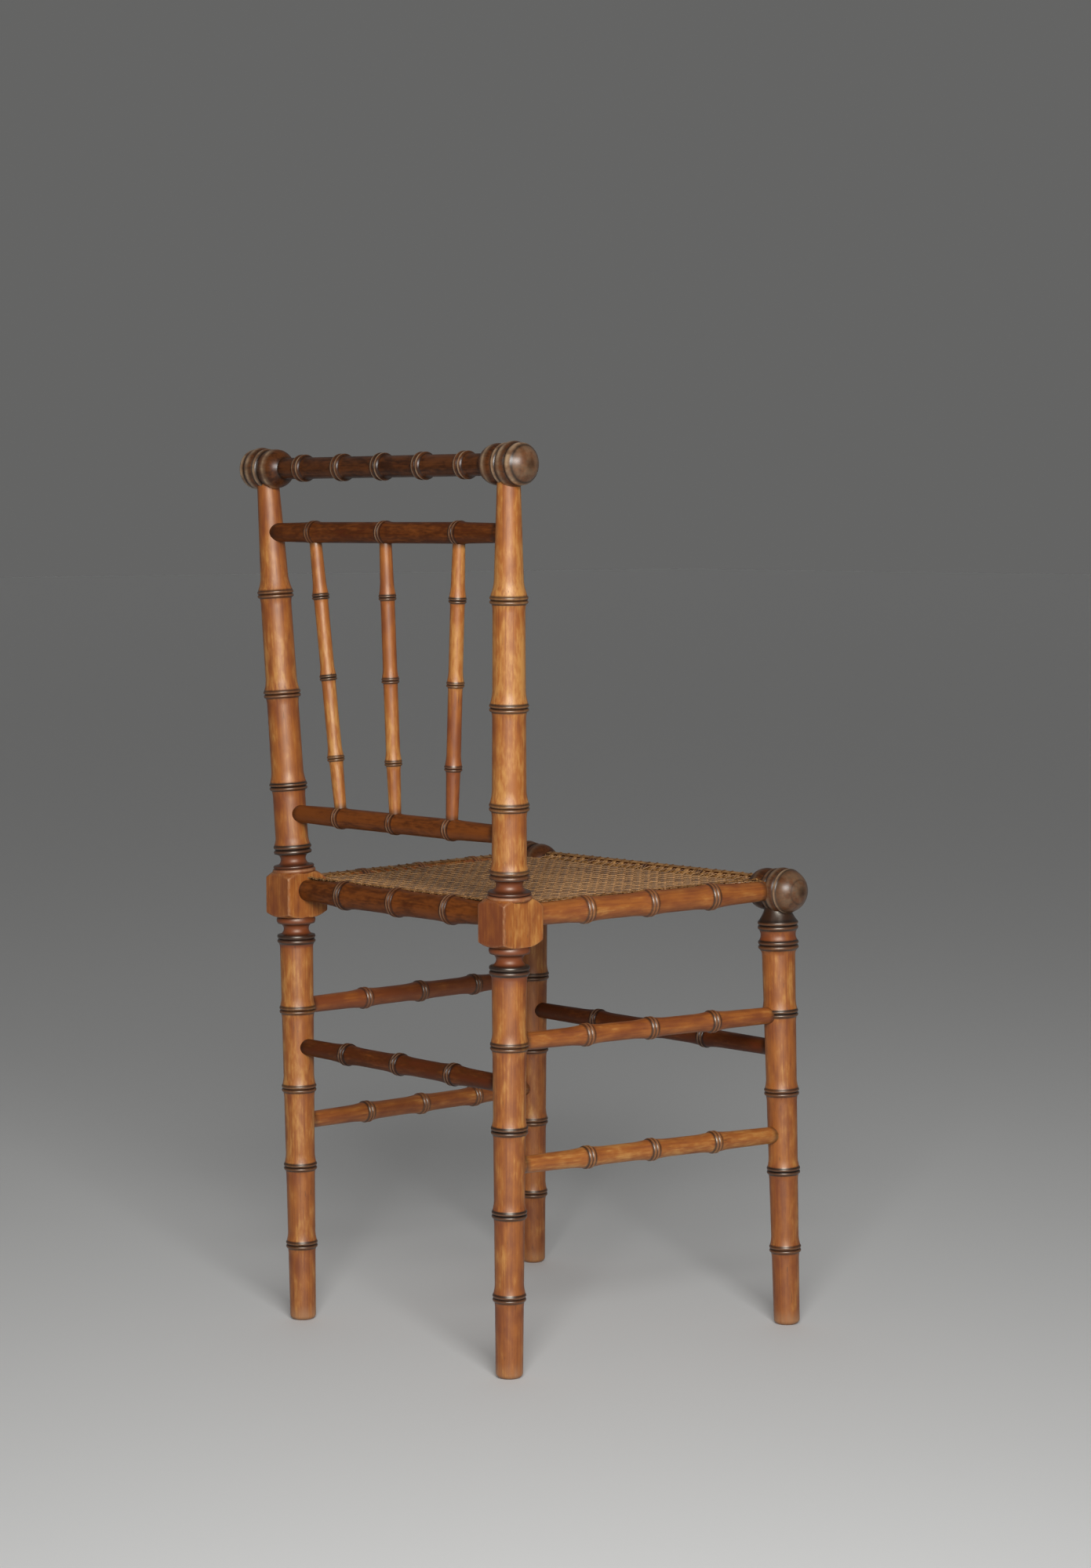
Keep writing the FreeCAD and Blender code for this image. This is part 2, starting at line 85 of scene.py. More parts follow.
# shader maths
class Value:
    # a node socket that takes part in plain arithmetic
    def __init__(self, shade, socket):
        self.shade = shade
        self.socket = socket

    def maths(self, operation, first, second):
        return self.shade.node("Math", {"operation": operation}, {0: first, 1: second})

    def __add__(self, other):
        return self.maths("ADD", self, other)

    def __sub__(self, other):
        return self.maths("SUBTRACT", self, other)

    def __rsub__(self, other):
        return self.maths("SUBTRACT", other, self)

    def __mul__(self, other):
        return self.maths("MULTIPLY", self, other)

    __radd__ = __add__
    __rmul__ = __mul__


class Shade:
    # the node tree of one material, or of the world
    def __init__(self, owner):
        self.owner = owner
        owner.use_nodes = True
        self.tree = owner.node_tree
        self.tree.nodes.clear()

    def node(self, kind, settings=None, sockets=None, output=0):
        made = self.tree.nodes.new("ShaderNode" + kind)
        for key, value in (settings or {}).items():
            setattr(made, key, value)
        for key, value in (sockets or {}).items():
            if isinstance(value, Value):
                self.tree.links.new(value.socket, made.inputs[key])
            else:
                made.inputs[key].default_value = value
        return Value(self, made.outputs[output]) if made.outputs else made

    def attribute(self, name):
        return self.node("Attribute", {"attribute_name": name}, output="Vector")

    def part(self, vector, axis):
        return self.node("SeparateXYZ", None, {0: vector}, axis)

    def stretched(self, vector, scale):
        return self.node("VectorMath", {"operation": "MULTIPLY"}, {0: vector, 1: scale})

    def noise(self, vector, scale, detail, rough=0.5):
        sockets = {"Vector": vector, "Scale": scale, "Detail": detail, "Roughness": rough}
        return self.node("TexNoise", None, sockets)

    def ramp(self, value, low, high):
        sockets = {"Value": value, "From Min": low, "From Max": high}
        return self.node("MapRange", {"interpolation_type": "SMOOTHSTEP"}, sockets)

    def mix(self, factor, first, second):
        return self.node("Mix", {"data_type": "RGBA"}, {0: factor, 6: first, 7: second}, 2)

    def bump(self, height, strength, distance):
        sockets = {"Height": height, "Strength": strength, "Distance": distance}
        return self.node("Bump", None, sockets)

    def surface(self, sockets):
        shader = self.node("BsdfPrincipled", None, sockets)
        self.node("OutputMaterial", None, {"Surface": shader})
        return self.owner


# wood finishes: colours are linear, and the last value of each is how much darker a piece is at the floor
# than at the crest
# that darkening by height is partly painted shade, for light that falls off lower down, and partly a redder
# tone of the wood
woodLooks = {
    # worn is the colour of real wear, and also of the painted highlights on ring crowns and bulbs
    "honeyWood": {
        "pale": (0.45, 0.205, 0.050, 1), "deep": (0.31, 0.094, 0.013, 1), "red": (0.17, 0.037, 0.006, 1),
        "stain": (0.013, 0.006, 0.004, 1), "worn": (0.44, 0.25, 0.12, 1), "streaks": 0.70, "specks": 0.60,
        "wornAndSheenShare": 0.70, "rough": 0.50, "gloss": 0.85, "glossTint": (1.0, 0.93, 0.80, 1), "coat": 0.0,
        "coatRough": 0.25, "polish": 0.0, "lowerShadeAndTone": 0.36,
    },
    "redBrownWood": {
        "pale": (0.155, 0.041, 0.006, 1), "deep": (0.062, 0.015, 0.002, 1), "red": (0.090, 0.017, 0.003, 1),
        "stain": (0.010, 0.004, 0.002, 1), "worn": (0.46, 0.31, 0.19, 1), "streaks": 0.55, "specks": 0.45,
        "wornAndSheenShare": 0.85, "rough": 0.46, "gloss": 0.20, "glossTint": (1, 1, 1, 1), "coat": 0.03,
        "coatRough": 0.30, "polish": 0.15, "lowerShadeAndTone": 0.0,
    },
    "darkWood": {
        "pale": (0.086, 0.025, 0.005, 1), "deep": (0.026, 0.007, 0.001, 1), "red": (0.055, 0.011, 0.002, 1),
        "stain": (0.008, 0.004, 0.002, 1), "worn": (0.38, 0.25, 0.145, 1), "streaks": 0.60, "specks": 0.35,
        "wornAndSheenShare": 0.90, "rough": 0.42, "gloss": 0.20, "glossTint": (1, 1, 1, 1), "coat": 0.26,
        "coatRough": 0.32, "polish": 0.9, "lowerShadeAndTone": 0.0,
    },
}
# noises in the wood: stretch across and along the stick, scale, detail and, for streaks, roughness
woodNoises = {
    "broad": (1, 0.14, 0.06, 2), "streak": (1, 0.022, 0.5, 5, 0.65), "fibre": (1, 0.035, 2.2, 3),
    "speck": (1, 0.12, 0.6, 2), "smudge": (1, 0.4, 0.11, 3), "patina": (0.3, 1, 0.02, 1),
    "fleck": (1, 0.28, 0.40, 3),
}
# how much each noise counts, and where each effect starts and is full
woodPattern = {
    "ageing": {"broad": 0.8, "streak": 0.6, "smudge": 0.8, "patina": 0.3, "fleck": 0.9},
    "flushing": {"smudge": 0.7, "streak": 0.5}, "flushTone": 0.7,
    "streaking": {"streak": 1.0, "fibre": 0.35},
    "dulling": {"smudge": 0.20, "fibre": 0.12}, "lacquerShine": 0.14,
    "relief": {"streak": 0.5, "fibre": 0.3}, "speckDepth": 0.8,
    "ageRange": (-0.24, 0.34), "flushRange": (0.07, 0.50), "streakRange": (0.02, 0.30),
    "speckRange": (0.69, 0.77), "patinaRange": (0.38, 0.55), "rubbedRange": (0.35, 0.60),
    "leastLacquer": 0.84, "lacquerCover": 0.9, "lacquerCoat": 0.20, "leastRubbed": 0.35,
    "palestHeight": 0.95, "bumpStrength": 0.25, "bumpHeight": 0.0003,
}


def makeWood(name):
    look = woodLooks[name]
    pattern = woodPattern
    shade = Shade(bpy.data.materials.new(name))
    grain = shade.attribute("grain")  # mm in the stick's own frame, Z along it
    finish = shade.attribute("finish")
    stain = shade.part(finish, "X")
    # paler marks: real wear on block edges and feet, and on ring crowns and bulbs partly a painted highlight
    wear = shade.part(finish, "Y")
    height = shade.part(shade.node("TexCoord", output="Object"), "Z")
    # darker towards the floor: partly painted shade, partly a redder tone
    tone = shade.part(finish, "Z") + look["lowerShadeAndTone"] * (pattern["palestHeight"] - height)
    noises = {key: shade.noise(shade.stretched(grain, (across, across, along)), *settings)
              for key, (across, along, *settings) in woodNoises.items()}

    def blend(weights):
        # noises added up, each counted from its middle
        total = 0
        for key, weight in weights.items():
            total = total + weight * (noises[key] - 0.5)
        return total

    age = tone + blend(pattern["ageing"])
    colour = shade.mix(shade.ramp(age, *pattern["ageRange"]), look["pale"], look["deep"])
    flush = blend(pattern["flushing"]) + pattern["flushTone"] * tone
    colour = shade.mix(shade.ramp(flush, *pattern["flushRange"]), colour, look["red"])
    # darker streaks along the grain, part of the wood's own colour
    darkStreak = shade.ramp(blend(pattern["streaking"]), *pattern["streakRange"])
    colour = shade.mix(darkStreak * look["streaks"], colour, look["red"])
    speck = shade.ramp(noises["speck"], *pattern["speckRange"])
    colour = shade.mix(speck * look["specks"], colour, look["stain"])
    least = pattern["leastLacquer"]
    lacquer = stain * (least + (1 - least) * shade.ramp(noises["patina"], *pattern["patinaRange"]))
    colour = shade.mix(lacquer, colour, look["stain"])
    # worn colour: real wear, and on ring crowns and bulbs also a painted highlight
    bare = wear * (1 - pattern["lacquerCover"] * lacquer)
    least = pattern["leastRubbed"]
    rubbedAndSheen = bare * (least + (1 - least) * shade.ramp(noises["smudge"], *pattern["rubbedRange"]))
    colour = shade.mix(rubbedAndSheen * look["wornAndSheenShare"], colour, look["worn"])

    dull = look["rough"] + blend(pattern["dulling"]) - pattern["lacquerShine"] * lacquer
    relief = blend(pattern["relief"]) - pattern["speckDepth"] * speck
    return shade.surface({
        "Base Color": colour, "Roughness": dull,
        "Specular IOR Level": look["gloss"], "Specular Tint": look["glossTint"],
        "Coat Weight": look["coat"] + pattern["lacquerCoat"] * lacquer + look["polish"] * bare,
        "Coat Roughness": look["coatRough"],
        "Normal": shade.bump(relief, pattern["bumpStrength"], pattern["bumpHeight"]),
    })


caneLook = {
    "pale": (0.38, 0.192, 0.063, 1), "deep": (0.137, 0.059, 0.017, 1), "grime": (0.040, 0.019, 0.008, 1),
    "rough": 0.45, "fibreStretch": (1, 1, 0.03), "fibreScale": 2.2, "patchScale": 0.09,
    "patchRange": (0.25, 0.80), "grimeRange": (0.55, 0.80), "grimeShare": 0.45,
    "detail": 3, "dulling": 0.2, "bumpStrength": 0.2, "bumpHeight": 0.0002,
}


def makeCane():
    shade = Shade(bpy.data.materials.new("cane"))
    grain = shade.attribute("grain")  # mm: across, height, along the strand
    tone = shade.part(shade.attribute("finish"), "Z")
    stretched = shade.stretched(grain, caneLook["fibreStretch"])
    fibre = shade.noise(stretched, caneLook["fibreScale"], caneLook["detail"])
    patch = shade.noise(grain, caneLook["patchScale"], caneLook["detail"])
    colour = shade.mix(shade.ramp(patch + tone, *caneLook["patchRange"]), caneLook["pale"], caneLook["deep"])
    grime = shade.ramp(fibre, *caneLook["grimeRange"]) * caneLook["grimeShare"]
    colour = shade.mix(grime, colour, caneLook["grime"])
    dull = caneLook["rough"] + caneLook["dulling"] * (fibre - 0.5)
    return shade.surface({
        "Base Color": colour, "Roughness": dull,
        "Normal": shade.bump(fibre, caneLook["bumpStrength"], caneLook["bumpHeight"]),
    })


finishes = {name: makeWood(name) for name in woodLooks}
finishes["cane"] = makeCane()
slots = {name: frameName(name) for name in finishes}
print("materials made:", len(finishes))


# turned outlines
class Turning:
    # half outline along the axis in mm, with dark creases, paler ridges and reddened stretches marked on it;
    # the paler ridges are real wear, and on ring crowns and bulbs partly a painted highlight
    longestStep = 6.0
    beadSteps = 6
    roundSteps = 10
    flareBend = 0.4  # share of its length where a flare bends
    flareRise = 0.3  # share of its lift that it has there
    darkFade = 0.5
    flushBelow = 10.0
    flushFade = 14.0

    def __init__(self, station, radius):
        self.points = [(station, radius)]
        self.stains = []
        self.wearAndSheenMarks = []
        self.flushes = []

    def line(self, station, radius):
        start = Vector(self.points[-1])
        end = Vector((station, radius))
        steps = max(1, math.ceil(abs(end.x - start.x) / self.longestStep))
        self.points += [tuple(start.lerp(end, step / steps)) for step in range(1, steps + 1)]

    def arc(self, viaStation, viaRadius, station, radius, steps=8):
        start = Vector(self.points[-1])
        toVia = Vector((viaStation, viaRadius)) - start
        toEnd = Vector((station, radius)) - start
        twist = 2 * (toVia.x * toEnd.y - toVia.y * toEnd.x)
        viaSquare = toVia.length_squared
        endSquare = toEnd.length_squared
        centre = Vector(((toEnd.y * viaSquare - toVia.y * endSquare) / twist,
                         (toVia.x * endSquare - toEnd.x * viaSquare) / twist))
        spoke = -centre
        lastSpoke = toEnd - centre
        sweep = math.atan2(spoke.x * lastSpoke.y - spoke.y * lastSpoke.x, spoke.dot(lastSpoke))
        if sweep * twist < 0:
            sweep += math.copysign(2 * math.pi, twist)
        for step in range(1, steps + 1):
            turned = spoke.copy()
            turned.rotate(Matrix.Rotation(sweep * step / steps, 2))
            self.points.append(tuple(start + centre + turned))

    def dome(self, tip):
        # round cap that closes on the axis
        station, radius = self.points[-1]
        rise = tip - station
        ball = (rise ** 2 + radius ** 2) / (2 * rise)
        half = math.atan2(radius, station - tip + ball) / 2
        self.arc(tip - ball + ball * math.cos(half), ball * math.sin(half), tip, 0, self.roundSteps)

    def crease(self, station, amount, spread, reach=0.0):
        self.stains.append((station, amount, spread, reach))

    def ridge(self, station, amount, spread=0.6, reach=0.0):
        self.wearAndSheenMarks.append((station, amount, spread, reach))

    def flush(self, station, amount, spread, reach=0.0):
        self.flushes.append((station, amount, spread, reach))

    def mirror(self):
        # the same outline on the other side of station 0
        self.points = [(-station, radius) for station, radius in self.points[:0:-1]] + self.points
        for marks in (self.stains, self.wearAndSheenMarks, self.flushes):
            marks += [(-station, *rest) for station, *rest in marks]

    def beads(self, station, body, ring):
        lip = body(station) + ring["lift"]
        half = ring["width"] / 2
        self.arc(station - half / 2, lip, station, lip - ring["groove"], self.beadSteps)
        self.arc(station + half / 2, lip, station + half, body(station) + ring["above"], self.beadSteps)
        for place in (station - half, station, station + half):
            self.crease(place, ring["stain"], ring["line"])
        self.crease(station, ring["dark"], self.darkFade, half)
        # paler crowns: partly wear, partly a painted highlight
        for place in (station - half / 2, station + half / 2):
            self.ridge(place, ring["wear"])
        self.flush(station - half - self.flushBelow, ring["flush"], self.flushFade)

    def flareUp(self, station, body, ring):
        edge = station - ring["width"] / 2
        far = edge - ring["belowLength"]
        self.line(far, body(far))
        bend = edge - self.flareBend * ring["belowLength"]
        self.arc(bend, body(edge) + self.flareRise * ring["below"], edge, body(station) + ring["below"])

    def flareDown(self, station, body, ring):
        edge = station + ring["width"] / 2
        far = edge + ring["aboveLength"]
        bend = edge + self.flareBend * ring["aboveLength"]
        self.arc(bend, body(edge) + self.flareRise * ring["above"], far, body(far))

    def ring(self, station, body, ring):
        self.flareUp(station, body, ring)
        self.beads(station, body, ring)
        self.flareDown(station, body, ring)


def markAt(marks, station):
    # each mark is full within its reach and fades over its spread
    total = 0.0
    for middle, amount, spread, reach in marks:
        away = max(abs(station - middle) - reach, 0.0)
        total += amount * math.exp(-(away / spread) ** 2)
    return min(1.0, total)


def taper(*points):
    # radius along a stick, by straight lines through (station, radius) points
    def radiusAt(station):
        for (low, lowRadius), (high, highRadius) in zip(points, points[1:]):
            if station <= high:
                return lowRadius + (highRadius - lowRadius) * (station - low) / (high - low)
        return points[-1][1]
    return radiusAt


# two beads with a groove between them, and the flare of the stick below and above them
# stain and line are for the creases, dark for the whole ring, wear for the paler crowns (partly wear, partly
# a painted highlight), flush for the stick below
rings = {
    "leg": dict(
        width=7.4, lift=2.3, groove=1.7, below=0.7, belowLength=7.0, above=1.5, aboveLength=12.0,
        stain=0.95, line=0.7, dark=0.74, wear=0.42, flush=0.14),
    "post": dict(
        width=7.4, lift=2.9, groove=2.0, below=0.9, belowLength=8.0, above=2.1, aboveLength=14.0,
        stain=0.95, line=0.7, dark=0.64, wear=0.5, flush=0.18),
    "rail": dict(
        width=8.0, lift=1.5, groove=1.1, below=0.7, belowLength=12.0, above=0.7, aboveLength=12.0,
        stain=0.9, line=0.6, dark=0.25, wear=0.8, flush=0.0),
    "stretcher": dict(
        width=8.0, lift=2.4, groove=1.2, below=1.3, belowLength=22.0, above=1.3, aboveLength=22.0,
        stain=0.8, line=0.6, dark=0.35, wear=0.8, flush=0.0),
    "spindle": dict(
        width=5.0, lift=1.8, groove=1.2, below=0.5, belowLength=5.0, above=1.3, aboveLength=13.0,
        stain=0.95, line=0.5, dark=0.72, wear=0.42, flush=0.12),
    "crest": dict(
        width=11.5, lift=3.0, groove=1.3, below=0.8, belowLength=4.0, above=0.8, aboveLength=4.0,
        stain=0.8, line=0.8, dark=0.0, wear=1.0, flush=0.0),
    "collar": dict(
        width=8.6, lift=2.5, groove=1.8, below=1.2, belowLength=5.0, above=1.8, aboveLength=9.0,
        stain=0.95, line=0.8, dark=0.72, wear=0.42, flush=0.1),
    "frontCollar": dict(
        width=9.0, lift=3.6, groove=1.7, below=2.4, belowLength=6.0, above=2.4, aboveLength=6.0,
        stain=0.95, line=0.9, dark=0.68, wear=0.4, flush=0.1),
}


def makeMesh(name, bm):
    mesh = bpy.data.meshes.new(name)
    bm.to_mesh(mesh)
    bm.free()
    return mesh


def addObject(name, data):
    item = bpy.data.objects.new(name, data)
    bpy.context.scene.collection.objects.link(item)
    return item


class Piece:
    # one visible piece: its mesh and the attributes that its finish reads
    postSteps = 48
    stickSteps = 40
    mergeDistance = 0.0005
    sharpAngle = 38.0
    grainStep = Vector((97.0, 41.0, 0.0))  # each seed reads another stretch of the wood

    def __init__(self, name, seed, tone=0.0):
        self.name = name
        self.tone = tone
        self.shift = self.grainStep * seed
        self.bm = bmesh.new()
        self.grain = self.bm.verts.layers.float_vector.new("grain")
        self.finish = self.bm.verts.layers.float_vector.new("finish")
        self.placed = self.bm.verts.layers.int.new("placed")

    def loose(self):
        # what is still being shaped
        return [vert for vert in self.bm.verts if not vert[self.placed]]

    def looseEdges(self):
        return [edge for edge in self.bm.edges if not edge.verts[0][self.placed]]

    def place(self, start, direction):
        # note the grain in the stick's own frame, then put the stick in its place
        verts = self.loose()
        for vert in verts:
            vert[self.grain] = vert.co + self.shift
            vert[self.placed] = 1
        turn = Vector((0, 0, 1)).rotation_difference(direction).to_matrix().to_4x4()
        matrix = Matrix.Scale(mm, 4) @ Matrix.Translation(start) @ turn
        bmesh.ops.transform(self.bm, matrix=matrix, verts=verts)

    def turn(self, turning, start, direction, steps=postSteps):
        chain = []
        for station, radius in turning.points:
            vert = self.bm.verts.new((radius, 0, station))
            stain = markAt(turning.stains, station)
            tone = self.tone + markAt(turning.flushes, station)
            vert[self.finish] = (stain, markAt(turning.wearAndSheenMarks, station), tone)
            chain.append(vert)
        edges = [self.bm.edges.new(pair) for pair in zip(chain, chain[1:])]
        bmesh.ops.spin(self.bm, geom=chain + edges, cent=(0, 0, 0), axis=(0, 0, 1), dvec=(0, 0, 0),
                       angle=2 * math.pi, steps=steps, use_merge=True)
        bmesh.ops.remove_doubles(self.bm, verts=self.loose(), dist=self.mergeDistance)
        self.place(start, direction)

    def sawLevel(self):
        # the foot stands flat on the floor
        geom = self.bm.verts[:] + self.bm.edges[:] + self.bm.faces[:]
        cut = bmesh.ops.bisect_plane(self.bm, geom=geom, dist=1e-7, plane_co=(0, 0, 0), plane_no=(0, 0, 1),
                                     clear_inner=True)
        rim = [item for item in cut["geom_cut"] if isinstance(item, bmesh.types.BMEdge)]
        bmesh.ops.edgeloop_fill(self.bm, edges=rim)

    def show(self, finish, *nodes):
        bmesh.ops.recalc_face_normals(self.bm, faces=self.bm.faces)
        self.bm.verts.layers.int.remove(self.placed)
        mesh = makeMesh(self.name, self.bm)
        mesh.shade_smooth()
        mesh.set_sharp_from_angle(angle=math.radians(self.sharpAngle))
        mesh.materials.append(finishes[finish])
        piece = addObject(self.name, mesh)
        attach(piece, "root")
        if nodes:
            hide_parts(*nodes)


# legs, posts and their blocks
# each mark is an amount, how far it fades and, for some, how far it reaches before that
legs = {
    "footRadius": 13.0, "footRound": 4.5, "sawBelow": 1.5, "topRadius": 16.75,
    "firstRing": 77.0, "ringPitch": 80.0, "ringCount": 4,
    "footStain": (0.35, 3.0), "footWear": (0.65, 7.0),
}
posts = {
    "ringHeights": (543.0, 636.0, 736.0), "kneeRadius": 15.2, "kneeLength": 8.0, "thinRadius": 14.2,
    "topRadius": 10.5, "coreRadius": 15.0, "neckRadius": 12.5, "neckLength": 11.5, "collarLip": 18.5,
    "flangeRadius": 20.6, "flangeThick": 6.5, "flangeSink": 1.5, "crownRise": 1.3, "crownRadius": 21.6,
    "stepRise": 3.575, "stepRadius": 19.6, "stepCrownRadius": 20.5, "lowerCrownRadius": 19.5,
    "lowerMarks": {"neckFlush": (0.9, 6.0, 12.0), "collar": (0.5, 2.5), "flange": (0.8, 1.5),
                   "block": (0.5, 2.5)},
    "upperMarks": {"neckFlush": (1.0, 9.0), "neck": (0.16, 4.0), "step": (0.9, 0.8), "flange": (0.9, 2.0),
                   "crownWear": (0.6, 1.4), "topFlush": (0.16, 40.0, 40.0)},
    "neckFlushRise": 3.45,
    "lowerTones": {"Left": -0.04, "Right": 0.04}, "upperTones": {"Left": 0.16, "Right": 0.0}, "firstSeed": 1,
}
blocks = {
    "width": 36.5, "depth": 50.0, "tall": 46.0, "forward": 1.5, "shoulderRadius": 20.0,
    "upperDrop": 8.5, "lowerDrop": 6.0, "shoulderPower": 1.5, "wornEdge": 0.8, "cuts": 15, "sharpAngle": 35.0,
    "flush": {"Left": 0.17, "Right": 0.03}, "rearFlush": {"Left": 0.27, "Right": 0.40},
    "wear": 0.35, "cornerWear": 1.0, "seed": 3,
}
frontLegs = {
    "collar": 385.9, "collarPitch": 19.8, "waistRadius": 17.5, "coneTop": 13.4, "coneLength": 11.0,
    "coneHollow": 0.6, "coneEnd": 429.0, "coneStain": (0.95, 1.0), "waistFlush": (0.35, 8.0),
    "tones": {"Left": 0.03, "Right": 0.02}, "firstSeed": 3,
}


def legTurning(collar):
    body = taper((0, legs["footRadius"]), (collar, legs["topRadius"]))
    foot = legs["footRound"]
    inner = legs["footRadius"] - foot
    slant = foot * math.sqrt(0.5)
    turning = Turning(-legs["sawBelow"], 0)
    turning.line(-legs["sawBelow"], inner)
    turning.line(0, inner)
    turning.arc(foot - slant, inner + slant, foot, body(foot))
    turning.crease(0, *legs["footStain"])
    turning.ridge(0, *legs["footWear"], foot)
    for index in range(legs["ringCount"]):
        turning.ring(legs["firstRing"] + legs["ringPitch"] * index, body, rings["leg"])
    return turning, body


def lowerPost():
    bottom = chair["blockHeight"] - blocks["tall"] / 2
    ring = rings["collar"]
    collar = bottom - posts["flangeThick"] - posts["neckLength"] - ring["width"] / 2
    turning, body = legTurning(collar)
    turning.flareUp(collar, body, ring)
    turning.beads(collar, body, ring)
    neck = collar + ring["width"] / 2
    flange = neck + posts["neckLength"]
    lip = posts["collarLip"]
    turning.arc(neck + posts["neckLength"] / 2, posts["neckRadius"], flange, lip)
    turning.arc(flange + posts["flangeThick"] / 2, posts["lowerCrownRadius"], bottom, lip)
    marks = posts["lowerMarks"]
    turning.flush(neck + posts["neckLength"] / 2, *marks["neckFlush"])
    turning.crease(neck, *marks["collar"])
    turning.crease(flange, *marks["flange"])
    turning.crease(bottom, *marks["block"])
    turning.line(bottom + blocks["lowerDrop"], posts["coreRadius"])
    turning.line(chair["blockHeight"], posts["coreRadius"])
    turning.line(chair["blockHeight"], 0)
    return turning


def postBody():
    knee = posts["ringHeights"][-1] - chair["blockHeight"]
    top = chair["crestHeight"] - chair["blockHeight"]
    return taper((0, legs["topRadius"]), (knee, posts["kneeRadius"]),
                 (knee + posts["kneeLength"], posts["thinRadius"]), (top, posts["topRadius"]))


def upperPost():
    # stations from the middle of the block
    body = postBody()
    ring = rings["collar"]
    top = blocks["tall"] / 2
    turning = Turning(0, 0)
    turning.line(0, posts["coreRadius"])
    turning.line(top - posts["flangeSink"], posts["coreRadius"])
    turning.line(top - posts["flangeSink"], posts["flangeRadius"])
    flange = top + posts["flangeThick"]
    step = top + posts["stepRise"]
    crown = top + posts["crownRise"]
    turning.arc(crown, posts["crownRadius"], step, posts["stepRadius"])
    turning.arc((step + flange) / 2, posts["stepCrownRadius"], flange, posts["collarLip"])
    collar = flange + posts["neckLength"] + ring["width"] / 2
    neck = flange + posts["neckLength"] / 2
    turning.arc(neck, posts["neckRadius"], flange + posts["neckLength"], posts["collarLip"])
    marks = posts["upperMarks"]
    turning.flush(flange + posts["neckFlushRise"], *marks["neckFlush"])
    turning.crease(neck, *marks["neck"])
    turning.crease(step, *marks["step"])
    turning.crease(flange, *marks["flange"])
    turning.ridge(crown, *marks["crownWear"])
    turning.beads(collar, body, ring)
    turning.flareDown(collar, body, ring)
    for height in posts["ringHeights"]:
        turning.ring(height - chair["blockHeight"], body, rings["post"])
    end = chair["crestHeight"] - chair["blockHeight"] - chair["letIn"]
    turning.flush(end, *marks["topFlush"])
    turning.line(end, body(end))
    turning.line(end, 0)
    return turning


chips = random.Random(blocks["seed"])


def addBlock(piece, centre, name):
    # square block with its corners turned off above and below, and rubbed edges
    cube = bmesh.ops.create_cube(piece.bm, size=1.0)
    size = (blocks["width"], blocks["depth"], blocks["tall"])
    bmesh.ops.scale(piece.bm, vec=size, verts=cube["verts"])
    bmesh.ops.subdivide_edges(piece.bm, edges=piece.looseEdges(), cuts=blocks["cuts"], use_grid_fill=True)
    made = piece.loose()
    bmesh.ops.translate(piece.bm, vec=(0, -blocks["forward"], 0), verts=made)
    half = blocks["tall"] / 2
    rearEdge = blocks["depth"] / 2 - blocks["forward"] - 2 * blocks["wornEdge"]
    sideEdge = blocks["width"] / 2 - 2 * blocks["wornEdge"]
    far = math.hypot(blocks["width"] / 2, blocks["depth"] / 2 + blocks["forward"])
    for vert in made:
        out = max(0.0, vert.co.xy.length - blocks["shoulderRadius"]) / (far - blocks["shoulderRadius"])
        drop = blocks["upperDrop"] if vert.co.z > 0 else blocks["lowerDrop"]
        vert.co.z *= 1 - drop * out ** blocks["shoulderPower"] / half
    bend = math.radians(blocks["sharpAngle"])
    sharp = [edge for edge in piece.looseEdges() if edge.calc_face_angle(0) > bend]
    worn = bmesh.ops.bevel(piece.bm, geom=sharp, offset=blocks["wornEdge"], affect="EDGES", segments=2,
                           profile=0.5, material=-1, clamp_overlap=True)
    # the faces towards the rear are coloured darker and redder than the others
    for vert in piece.loose():
        atRear = vert.co.y > rearEdge
        flush = blocks["rearFlush" if atRear else "flush"][name]
        vert[piece.finish] = (0.0, 0.0, piece.tone + flush)
    for vert in worn["verts"]:
        atRear = vert.co.y > rearEdge
        atSide = abs(vert.co.x) > sideEdge
        wear = blocks["cornerWear"] if atRear and atSide else blocks["wear"]
        vert[piece.finish].y = chips.random() * wear
    piece.place(centre, Vector((0, 0, 1)))


def makeRearPost(name, side, seed):
    piece = Piece("rearPost" + name, seed, posts["lowerTones"][name])
    foot = corner("rearFoot", side, 0)
    block = corner("block", side, chair["blockHeight"])
    piece.turn(lowerPost(), foot, block - foot)
    piece.sawLevel()
    addBlock(piece, block, name)
    piece.tone = posts["upperTones"][name]
    top = corner("crestEnd", side, chair["crestHeight"])
    piece.turn(upperPost(), block, top - block)
    piece.show("honeyWood", frameName(piece.name))


def makeFrontLeg(name, side, seed):
    ring = rings["frontCollar"]
    lower = frontLegs["collar"]
    upper = lower + frontLegs["collarPitch"]
    turning, body = legTurning(lower)
    turning.flareUp(lower, body, ring)
    turning.beads(lower, body, ring)
    edge = upper - ring["width"] / 2
    lip = legs["topRadius"] + ring["below"]
    turning.arc((lower + upper) / 2, frontLegs["waistRadius"], edge, lip)
    turning.beads(upper, taper((0, legs["topRadius"]), (upper, legs["topRadius"])), ring)
    cone = upper + ring["width"] / 2
    length = frontLegs["coneLength"]
    end = frontLegs["coneEnd"]
    thin = frontLegs["coneTop"]
    turning.arc(cone + length / 2, (lip + thin) / 2 - frontLegs["coneHollow"], cone + length, thin)
    turning.line(end, thin)
    turning.line(end, 0)
    turning.crease((cone + end) / 2, *frontLegs["coneStain"], (end - cone) / 2)
    turning.flush((lower + upper) / 2, *frontLegs["waistFlush"])
    piece = Piece("frontLeg" + name, seed, frontLegs["tones"][name])
    foot = corner("frontFoot", side, 0)
    top = corner("frontTop", side, chair["frontRailHeight"])
    piece.turn(turning, foot, top - foot)
    piece.sawLevel()
    piece.show("honeyWood", frameName(piece.name))


